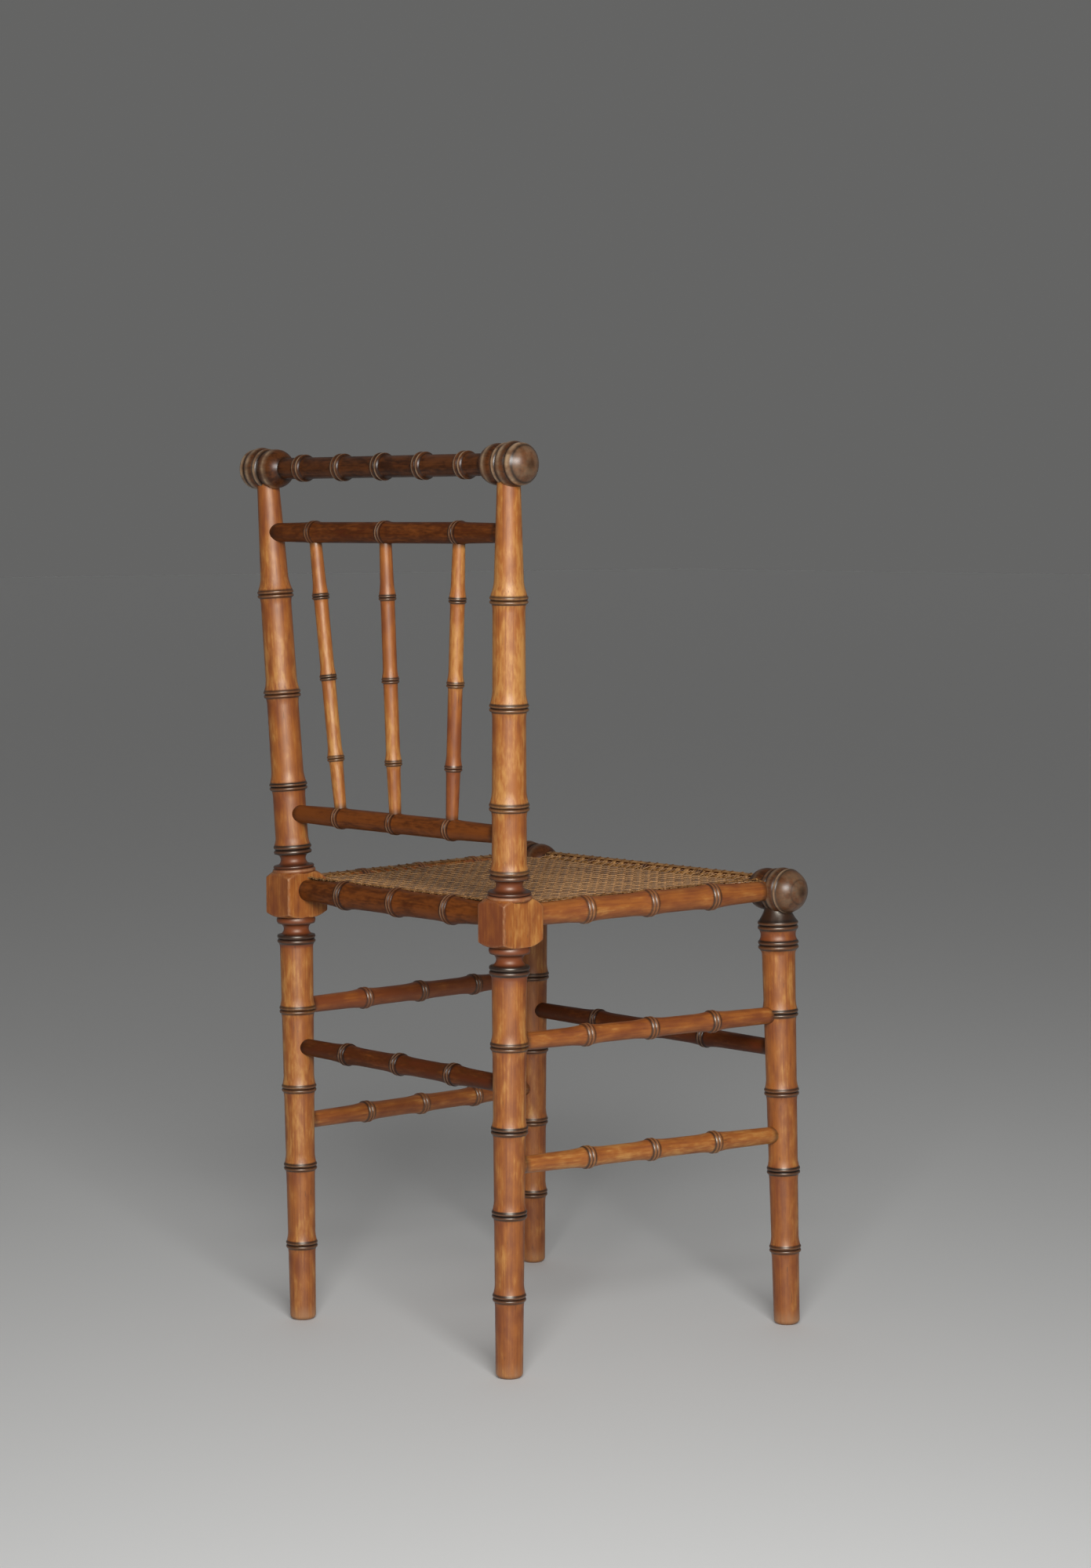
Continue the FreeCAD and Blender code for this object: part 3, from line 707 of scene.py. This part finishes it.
for index, (name, side) in enumerate(sides.items()):
    makeRearPost(name, side, posts["firstSeed"] + index)
    makeFrontLeg(name, side, frontLegs["firstSeed"] + index)
print("posts and legs turned")


# crest rail and front seat rail, with a bulb over each post
# each bead: crown and end outboard of the post's axis, each with its depth below the bulb's radius, and how
# pale its crown is painted, partly as wear and partly as a painted highlight
crestRail = {
    "bodyRadius": 10.5, "ringPitch": 60.5, "ringCount": 2, "ring": "crest", "bulbStart": -29.5,
    "bulbRadius": 21.3, "bulbTip": 30.6, "seed": 6,
    "beads": ((-16.0, 1.9, -5.0, 4.0, 0.8), (-2.2, 1.3, 0.6, 2.8, 0.8), (7.2, 0.0, 13.9, 2.4, 0.8),
              (18.0, 1.6, 22.3, 4.2, 0.8)),
}
frontRail = {
    "bodyRadius": 12.4, "ringPitch": 80.0, "ringCount": 1, "ring": "rail", "bulbStart": -29.5,
    "bulbRadius": 23.0, "bulbTip": 34.0, "seed": 7,
    "beads": ((-16.0, 2.2, -5.0, 4.0, 0.2), (-2.2, 1.4, 0.6, 2.6, 0.25), (6.5, 0.0, 13.0, 2.4, 0.4),
              (15.4, 0.5, 17.8, 1.6, 0.8)),
    "scratch": (24.8, 5.0, 30.1, 11.0),  # fine ring cut into the round end
}
bulbMarks = {
    "start": (0.8, 1.2), "groove": (0.95, 1.1), "crownFade": 2.4, "scratch": (0.6, 0.5),
    "capBack": 3.0, "capWearAndSheen": (0.26, 6.0, 6.0), "tip": (0.7, 0.8),
}


def bulbedRail(rail, spread):
    axis = spread / 2
    ring = rings[rail["ring"]]
    radius = rail["bodyRadius"]
    body = taper((0, radius), (axis, radius))
    lip = radius + ring["lift"]
    half = ring["width"] / 2
    turning = Turning(0, lip - ring["groove"])
    turning.arc(half / 2, lip, half, radius + ring["above"], turning.beadSteps)
    turning.crease(0, ring["stain"], ring["line"])
    turning.crease(half, ring["stain"], ring["line"])
    # the crown is painted paler: partly wear, partly a painted highlight
    turning.ridge(half / 2, ring["wear"])
    turning.flareDown(0, body, ring)
    for index in range(1, rail["ringCount"] + 1):
        turning.ring(rail["ringPitch"] * index, body, ring)

    def bead(crown, crownDrop, end, endDrop, groove):
        outer = rail["bulbRadius"]
        turning.arc(axis + crown, outer - crownDrop, axis + end, outer - endDrop, turning.roundSteps)
        turning.crease(axis + end, *groove)

    turning.line(axis + rail["bulbStart"], radius)
    turning.crease(axis + rail["bulbStart"], *bulbMarks["start"])
    # each crown is painted paler: partly wear, partly a painted highlight
    for *outline, wear in rail["beads"]:
        bead(*outline, bulbMarks["groove"])
        turning.ridge(axis + outline[0], wear, bulbMarks["crownFade"])
    if "scratch" in rail:
        bead(*rail["scratch"], bulbMarks["scratch"])
    tip = axis + rail["bulbTip"]
    turning.dome(tip)
    # a broad pale band on the round end: partly wear, partly a painted highlight
    turning.ridge(tip - bulbMarks["capBack"], *bulbMarks["capWearAndSheen"])
    turning.crease(tip, *bulbMarks["tip"])
    turning.mirror()
    return turning


def makeBulbedRail(name, rail, endName, height):
    reach, place = chair[endName]
    piece = Piece(name, rail["seed"])
    piece.turn(bulbedRail(rail, 2 * reach), Vector((0, place, height)), Vector((1, 0, 0)))
    piece.show("darkWood", frameName(name))


makeBulbedRail("crestRail", crestRail, "crestEnd", chair["crestHeight"])
makeBulbedRail("frontSeatRail", frontRail, "frontTop", chair["frontRailHeight"])
print("crest rail and front seat rail turned")


# plain sticks: rails, stretchers and spindles
sticks = {
    "ringPitch": 80.0, "jointStain": (0.7, 2.5),
    "stretcher": {"body": 8.9, "start": 8.3, "end": 8.3},
    "upperBack": {"body": 10.2, "start": 9.2, "end": 9.2, "height": 797.0, "spindlePitch": 108.0,
                  "seed": 8, "tone": 0.15},
    "lowerBack": {"body": 9.7, "start": 8.6, "end": 8.6, "height": 516.0, "spindlePitch": 83.0,
                  "seed": 9, "tone": -0.12},
    "rearSeat": {"body": 12.4, "start": 10.4, "end": 10.4, "seed": 18},
    "sideSeat": {"body": 11.4, "start": 10.5, "end": 9.8, "seed": 19, "tone": 0.18},
    "spindle": {"body": 6.9, "start": 5.9, "end": 6.0, "firstRing": 59.0, "ringCount": 3,
                "seed": 11, "tones": {"Left": -0.04, "Middle": 0.0, "Right": 0.06},
                "flushes": {"Left": (255.0, 0.22, 15.0, 30.0), "Middle": (215.0, 0.26, 20.0, 70.0),
                            "Right": (52.0, 0.29, 30.0, 42.0)}},
    "crossHeight": 280.0,
    "rearCross": {"seed": 13, "tone": 0.25},
    "frontCross": {"seed": 14, "tone": 0.3},
    "upperSide": {"height": 320.0, "drop": 5.0, "seed": 22, "tones": {"Left": 0.36, "Right": 0.18}},
    "lowerSide": {"height": 202.5, "drop": 9.0, "seed": 25, "tones": {"Left": 0.10, "Right": -0.06}},
}


def makeStick(name, ends, size, ring, stations, faces, finish, seed, tone=0.0, flush=None):
    start, end = ends
    near = faces[0]
    far = (end - start).length - faces[1]
    body = taper((near, size["start"]), (stations[0], size["body"]), (stations[-1], size["body"]),
                 (far, size["end"]))
    turning = Turning(near - chair["letIn"], 0)
    turning.line(near - chair["letIn"], size["start"])
    turning.line(near, size["start"])
    for station in stations:
        turning.ring(station, body, rings[ring])
    turning.line(far, size["end"])
    turning.line(far + chair["letIn"], size["end"])
    turning.line(far + chair["letIn"], 0)
    for joint in (near, far):
        turning.crease(joint, *sticks["jointStain"])
    if flush:
        turning.flush(*flush)
    piece = Piece(name, seed, tone)
    piece.turn(turning, start, end - start, piece.stickSteps)
    piece.show(finish, frameName(name))


def centred(ends, pitch=sticks["ringPitch"]):
    middle = (ends[1] - ends[0]).length / 2
    return [middle + pitch * index for index in (-1, 0, 1)]


def legFace(height):
    return taper((0, legs["footRadius"]), (frontLegs["collar"], legs["topRadius"]))(height)


def makeBackRail(name, size):
    height = size["height"]
    ends = (rearAxis(-1, height), rearAxis(1, height))
    face = postBody()(height - chair["blockHeight"])
    makeStick(name, ends, size, "rail", centred(ends, size["spindlePitch"]), (face, face),
              "redBrownWood", size["seed"], size["tone"])


def makeSpindle(name, place):
    ends = []
    rails = (sticks["lowerBack"], sticks["upperBack"])
    for size in rails:
        end = rearAxis(1, size["height"])
        end.x = place * size["spindlePitch"]
        ends.append(end)
    size = sticks["spindle"]
    stations = [size["firstRing"] + sticks["ringPitch"] * index for index in range(size["ringCount"])]
    faces = [rail["body"] for rail in rails]
    makeStick("spindle" + name, ends, size, "spindle", stations, faces, "honeyWood", size["seed"] - place,
              size["tones"][name], size["flushes"][name])


def makeCrossStretcher(name, axis, look):
    height = sticks["crossHeight"]
    ends = (axis(-1, height), axis(1, height))
    face = legFace(height)
    makeStick(name, ends, sticks["stretcher"], "stretcher", centred(ends), (face, face),
              "redBrownWood", look["seed"], look["tone"])


def makeSideStretcher(name, side, level):
    place = sticks[level + "Side"]
    ends = (rearAxis(side, place["height"]), frontAxis(side, place["height"] - place["drop"]))
    face = legFace(place["height"])
    makeStick(level + "SideStretcher" + name, ends, sticks["stretcher"], "stretcher", centred(ends),
              (face, face), "honeyWood", place["seed"] + side, place["tones"][name])


def makeSeatRails():
    corners = {side: corner("block", side, chair["seatHeight"]) for side in (1, -1)}
    ends = (corners[-1], corners[1])
    face = blocks["width"] / 2
    size = sticks["rearSeat"]
    makeStick("rearSeatRail", ends, size, "stretcher", centred(ends), (face, face),
              "redBrownWood", size["seed"])
    size = sticks["sideSeat"]
    faces = (blocks["depth"] / 2 + blocks["forward"], frontRail["bulbRadius"])
    for name, side in sides.items():
        ends = (corners[side], corner("frontTop", side, chair["frontRailHeight"]))
        makeStick("sideSeatRail" + name, ends, size, "stretcher", centred(ends), faces,
                  "honeyWood", size["seed"] + side, size["tone"])


makeBackRail("upperBackRail", sticks["upperBack"])
makeBackRail("lowerBackRail", sticks["lowerBack"])
for name, place in {"Left": 1, "Middle": 0, "Right": -1}.items():
    makeSpindle(name, place)
makeCrossStretcher("rearStretcher", rearAxis, sticks["rearCross"])
makeCrossStretcher("frontStretcher", frontAxis, sticks["frontCross"])
makeSeatRails()
for name, side in sides.items():
    makeSideStretcher(name, side, "upper")
    makeSideStretcher(name, side, "lower")
print("rails, stretchers and spindles turned")


# cane seat: pairs of strands each way, and single strands on both diagonals
weave = {
    "plane": 448.3, "sag": 3.0, "pitch": 12.0, "pairOffset": 1.5, "straightWidth": 2.1, "diagonalWidth": 2.5,
    "thick": 0.55, "straightWave": 0.36, "diagonalWave": 0.64, "edgeInset": 1.5, "easeOff": 4.0,
    "firstDiagonal": -0.25, "secondDiagonal": 0.35,
    "flatReach": 2.6, "jitter": 0.22, "toneSpread": 0.16, "grainSpread": 500.0, "seed": 7,
    "pairs": 16, "diagonals": 32, "crossings": 60,  # to each side of the middle, enough to pass the rails
    "binderWidth": 5.0, "binderLean": 12.0, "binderLift": 1.3, "binderStep": 12.0, "binderWander": 0.15,
    "binderTone": 0.1, "loopWidth": 2.0, "loopReach": 3.1, "loopRise": 0.7, "loopSink": 1.05,
    "loopFlat": 0.8, "loopWander": 0.12, "loopTones": (0.1, 0.45),
}
dice = random.Random(weave["seed"])


def bothWays(count):
    return range(-weave[count], weave[count] + 1)


def seatEdges():
    # outward normal and distance of each seat rail's axis, its height and its radius
    rear = Vector(chair["block"])
    front = Vector(chair["frontTop"])
    run = front - rear
    edges = [(Vector((0, 1)), rear.y, chair["seatHeight"], sticks["rearSeat"]["body"]),
             (Vector((0, -1)), -front.y, chair["frontRailHeight"], frontRail["bodyRadius"])]
    for side in (1, -1):
        normal = Vector((-side * run.y, run.x)).normalized()
        away = normal.dot(Vector((side * rear.x, rear.y)))
        edges.append((normal, away, chair["seatHeight"], sticks["sideSeat"]["body"]))
    return edges


def clipLine(point, direction):
    # the stretch of a line that lies inside the seat
    low, high = -math.inf, math.inf
    parallel = 1e-9  # with less slope, the line runs along that edge
    for normal, distance, height, radius in seatEdges():
        slope = normal.dot(direction)
        room = distance - weave["edgeInset"] - normal.dot(point)
        if slope > parallel:
            high = min(high, room / slope)
        elif slope < -parallel:
            low = max(low, room / slope)
        elif room < 0:
            return None
    return (low, high) if high - low > weave["pitch"] / 2 else None


def seatAt(point):
    # height of the cane: it sags in the middle and lies over the inner top of each rail
    front, rear = chair["frontTop"], chair["block"]
    middle = (front[1] + rear[1]) / 2
    across = min(1.0, abs(point.x) / rear[0])
    along = min(1.0, abs(point.y - middle) / (rear[1] - middle))
    level = weave["plane"] - weave["sag"] * (1 - across ** 2) * (1 - along ** 2)
    for normal, distance, height, radius in seatEdges():
        away = distance - normal.dot(point)
        over = radius + weave["thick"]
        if abs(away) < over:
            level = max(level, height + math.sqrt(over ** 2 - away ** 2))
    return level


def addStrip(piece, points, across, tone):
    # a flat strip of cane: a grid bent along its points
    bm = bmesh.new()
    grain = bm.verts.layers.float_vector.new("grain")
    finish = bm.verts.layers.float_vector.new("finish")
    count = len(points) - 1
    bmesh.ops.create_grid(bm, x_segments=count, y_segments=1, size=0.5)
    spread = weave["grainSpread"]
    shift = Vector((dice.uniform(0, spread), 0, dice.uniform(0, spread)))
    for vert in bm.verts:
        side = vert.co.y
        point = points[round((vert.co.x + 0.5) * count)]
        vert.co = point + side * across
        run = (point - points[0]).length
        vert[grain] = shift + Vector((side * across.length, 0, run))
        vert[finish] = (0, 0, tone)
    bmesh.ops.solidify(bm, geom=bm.faces[:], thickness=weave["thick"])
    bmesh.ops.scale(bm, vec=(mm, mm, mm), verts=bm.verts)
    strip = makeMesh("strip", bm)
    piece.bm.from_mesh(strip)
    bpy.data.meshes.remove(strip)


def addStrand(piece, point, direction, width, wave):
    # wave: rows of (distance along the line, height) that the strand passes through
    span = clipLine(point, direction)
    if span is None:
        return
    low, high = span
    rows = [(low, 0.0)] + [row for row in wave(point) if low < row[0] < high] + [(high, 0.0)]
    points = []
    for distance, height in rows:
        place = point + direction * distance
        points.append(Vector((place.x, place.y, seatAt(place) + height)))
    across = Vector((-direction.y, direction.x, 0)) * width
    tone = dice.uniform(-1, 1) * weave["toneSpread"]
    addStrip(piece, points, across, tone)


def straightWave(member):
    # over one strand of each crossing pair and under the other
    offset = weave["pairOffset"]
    height = weave["straightWave"] * member

    def rows(point):
        found = []
        for index in bothWays("crossings"):
            middle = index * weave["pitch"]
            found += [(middle - weave["easeOff"], 0.0), (middle - offset, -height),
                      (middle + offset, height), (middle + weave["easeOff"], 0.0)]
        return found
    return rows


def diagonalWave(over, lift):
    # over the pairs that run one way and under the others, turn by turn
    stretch = math.sqrt(2)

    def rows(point):
        found = []
        for index in bothWays("crossings"):
            middle = (index * weave["pitch"] / 2 - point.x) * stretch
            height = weave["diagonalWave"] * (over if index % 2 == 0 else -over)
            reach = weave["flatReach"] * stretch
            found += [(middle - reach, height + lift), (middle + reach, height + lift)]
        return found
    return rows


def weaveStraight():
    piece = Piece("caneStraightStrands", 0)
    width = weave["straightWidth"]
    for index in bothWays("pairs"):
        for member in (-1, 1):
            place = index * weave["pitch"] + member * weave["pairOffset"]
            place += dice.uniform(-1, 1) * weave["jitter"]
            addStrand(piece, Vector((place, 0)), Vector((0, 1)), width, straightWave(member))
            addStrand(piece, Vector((0, place)), Vector((1, 0)), width, straightWave(-member))
    piece.show("cane", "cane_seat")


def weaveDiagonals():
    piece = Piece("caneDiagonalStrands", 0)
    for index in range(-weave["diagonals"], weave["diagonals"]):
        for way in (1, -1):
            start = Vector((0, (index + 0.5) * weave["pitch"] + dice.uniform(-1, 1) * weave["jitter"]))
            direction = Vector((1, way)).normalized()
            lift = weave["secondDiagonal"] if way > 0 else weave["firstDiagonal"]
            addStrand(piece, start, direction, weave["diagonalWidth"], diagonalWave(-way, lift))
    piece.show("cane")


def bindEdge(piece, start, end, inward, radius):
    # a wide strip laid on the rail over the strands' ends, tied down by small loops
    lean = math.radians(weave["binderLean"])
    up = Vector((0, 0, 1))
    out = up * math.cos(lean) + inward * math.sin(lean)
    across = inward * math.cos(lean) - up * math.sin(lean)
    length = (end - start).length
    along = (end - start).normalized()
    count = round(length / weave["binderStep"])
    base = start + out * (radius + weave["binderLift"])
    step = along * length / count
    wander = weave["binderWander"]
    points = [base + step * index + out * dice.uniform(-wander, wander) for index in range(count + 1)]
    tone = dice.uniform(-weave["binderTone"], weave["binderTone"])
    addStrip(piece, points, across * weave["binderWidth"], tone)
    reach = across * weave["loopReach"]
    flat = reach * weave["loopFlat"]
    rise = out * weave["loopRise"]
    sink = out * weave["loopSink"]
    wander = weave["loopWander"]
    for index in range(count):
        middle = base + step * (index + 0.5 + dice.uniform(-wander, wander))
        loop = [middle - reach - sink, middle - flat + rise, middle + flat + rise, middle + reach - sink]
        addStrip(piece, loop, along * weave["loopWidth"], dice.uniform(*weave["loopTones"]))


def bindSeat():
    piece = Piece("caneBinder", 0)
    rearY, frontY = chair["block"][1], chair["frontTop"][1]
    seat = chair["seatHeight"]
    blockX = chair["block"][0] - blocks["width"] / 2
    blockY = rearY - blocks["depth"] / 2 - blocks["forward"]
    bulbX = chair["frontTop"][0] + frontRail["bulbStart"]
    bindEdge(piece, Vector((-blockX, rearY, seat)), Vector((blockX, rearY, seat)), Vector((0, -1, 0)),
             sticks["rearSeat"]["body"])
    front = chair["frontRailHeight"]
    bindEdge(piece, Vector((-bulbX, frontY, front)), Vector((bulbX, frontY, front)), Vector((0, 1, 0)),
             frontRail["bodyRadius"])
    for side in (1, -1):
        rear = corner("block", side, seat)
        run = corner("frontTop", side, front) - rear
        start = rear + run * ((blockY - rear.y) / run.y)
        end = rear + run * ((frontY + frontRail["bulbRadius"] - rear.y) / run.y)
        inward = Vector((side * run.y, -side * run.x, 0)).normalized()
        bindEdge(piece, start, end, inward, sticks["sideSeat"]["body"])
    piece.show("cane")


weaveStraight()
weaveDiagonals()
bindSeat()
print("cane seat woven")


# studio: pale floor, one wide soft light above the camera, and faint light from above and from the far side
studio = {
    "floorColour": (0.62, 0.62, 0.61, 1.0), "floorSize": 40.0, "floorRough": 0.75, "floorGloss": 0.2,
    "farShare": 0.206,  # the backdrop's share of the floor's colour, so that no horizon shows
    "horizonLight": 0.04, "zenithLight": 0.08, "riseRange": (0.1, 0.9),
    "farLight": 1.05, "farSide": (0.74, -0.67, 0.0),
    "window": {"place": (-2.10, 1.64, 1.45), "aim": (0.0, 0.0, 0.45), "size": (1.5, 1.0), "power": 37.0,
               "spread": 110.0},
}
camera = {
    "place": (-2.4195, 2.1941, 0.8050), "yaw": 132.607, "pitch": 4.541, "lens": 75.08, "sensor": 36.0,
}


def makeFloor():
    bm = bmesh.new()
    bmesh.ops.create_grid(bm, x_segments=1, y_segments=1, size=studio["floorSize"])
    mesh = makeMesh("floor", bm)
    shade = Shade(bpy.data.materials.new("paleFloor"))
    mesh.materials.append(shade.surface({
        "Base Color": studio["floorColour"], "Roughness": studio["floorRough"],
        "Specular IOR Level": studio["floorGloss"],
    }))
    floor = addObject("floor", mesh)


def makeWorld():
    world = bpy.data.worlds.new("softRoom")
    bpy.context.scene.world = world
    shade = Shade(world)
    direction = shade.node("TexCoord", output="Generated")
    rise = shade.ramp(shade.part(direction, "Z"), *studio["riseRange"])
    toFar = shade.node("VectorMath", {"operation": "DOT_PRODUCT"},
                       {0: direction, 1: studio["farSide"]}, "Value")
    glow = shade.ramp(toFar, 0.0, 1.0) * (1 - rise)
    strength = studio["horizonLight"] + (studio["zenithLight"] - studio["horizonLight"]) * rise
    strength = strength + studio["farLight"] * glow
    light = shade.node("Background", None, {"Color": (1, 1, 1, 1), "Strength": strength})
    backdrop = [studio["farShare"] * part for part in studio["floorColour"][:3]] + [1.0]
    shown = shade.node("Background", None, {"Color": backdrop, "Strength": 1.0})
    seen = 0
    for ray in ("Is Camera Ray", "Is Glossy Ray", "Is Transmission Ray"):
        seen = seen + shade.node("LightPath", output=ray)
    mixed = shade.node("MixShader", None, {0: seen, 1: light, 2: shown})
    shade.node("OutputWorld", None, {"Surface": mixed})


def makeLamp(name):
    lamp = studio[name]
    light = bpy.data.lights.new(name, "AREA")
    light.shape = "RECTANGLE"
    light.size, light.size_y = lamp["size"]
    light.energy = lamp["power"]
    light.spread = math.radians(lamp["spread"])
    item = addObject(name, light)
    item.location = lamp["place"]
    aim = Vector(lamp["aim"]) - item.location
    item.rotation_euler = aim.to_track_quat("-Z", "Y").to_euler()


def makeCamera():
    lens = bpy.data.cameras.new("camera")
    lens.lens = camera["lens"]
    lens.sensor_width = camera["sensor"]
    item = addObject("camera", lens)
    item.location = camera["place"]
    yaw, pitch = math.radians(camera["yaw"]), math.radians(camera["pitch"])
    look = Vector((math.sin(yaw) * math.cos(pitch), math.cos(yaw) * math.cos(pitch), -math.sin(pitch)))
    item.rotation_euler = look.to_track_quat("-Z", "Y").to_euler()
    bpy.context.scene.camera = item


makeFloor()
makeWorld()
makeLamp("window")
makeCamera()
bpy.context.scene.view_settings.view_transform = "Standard"
print("studio set")
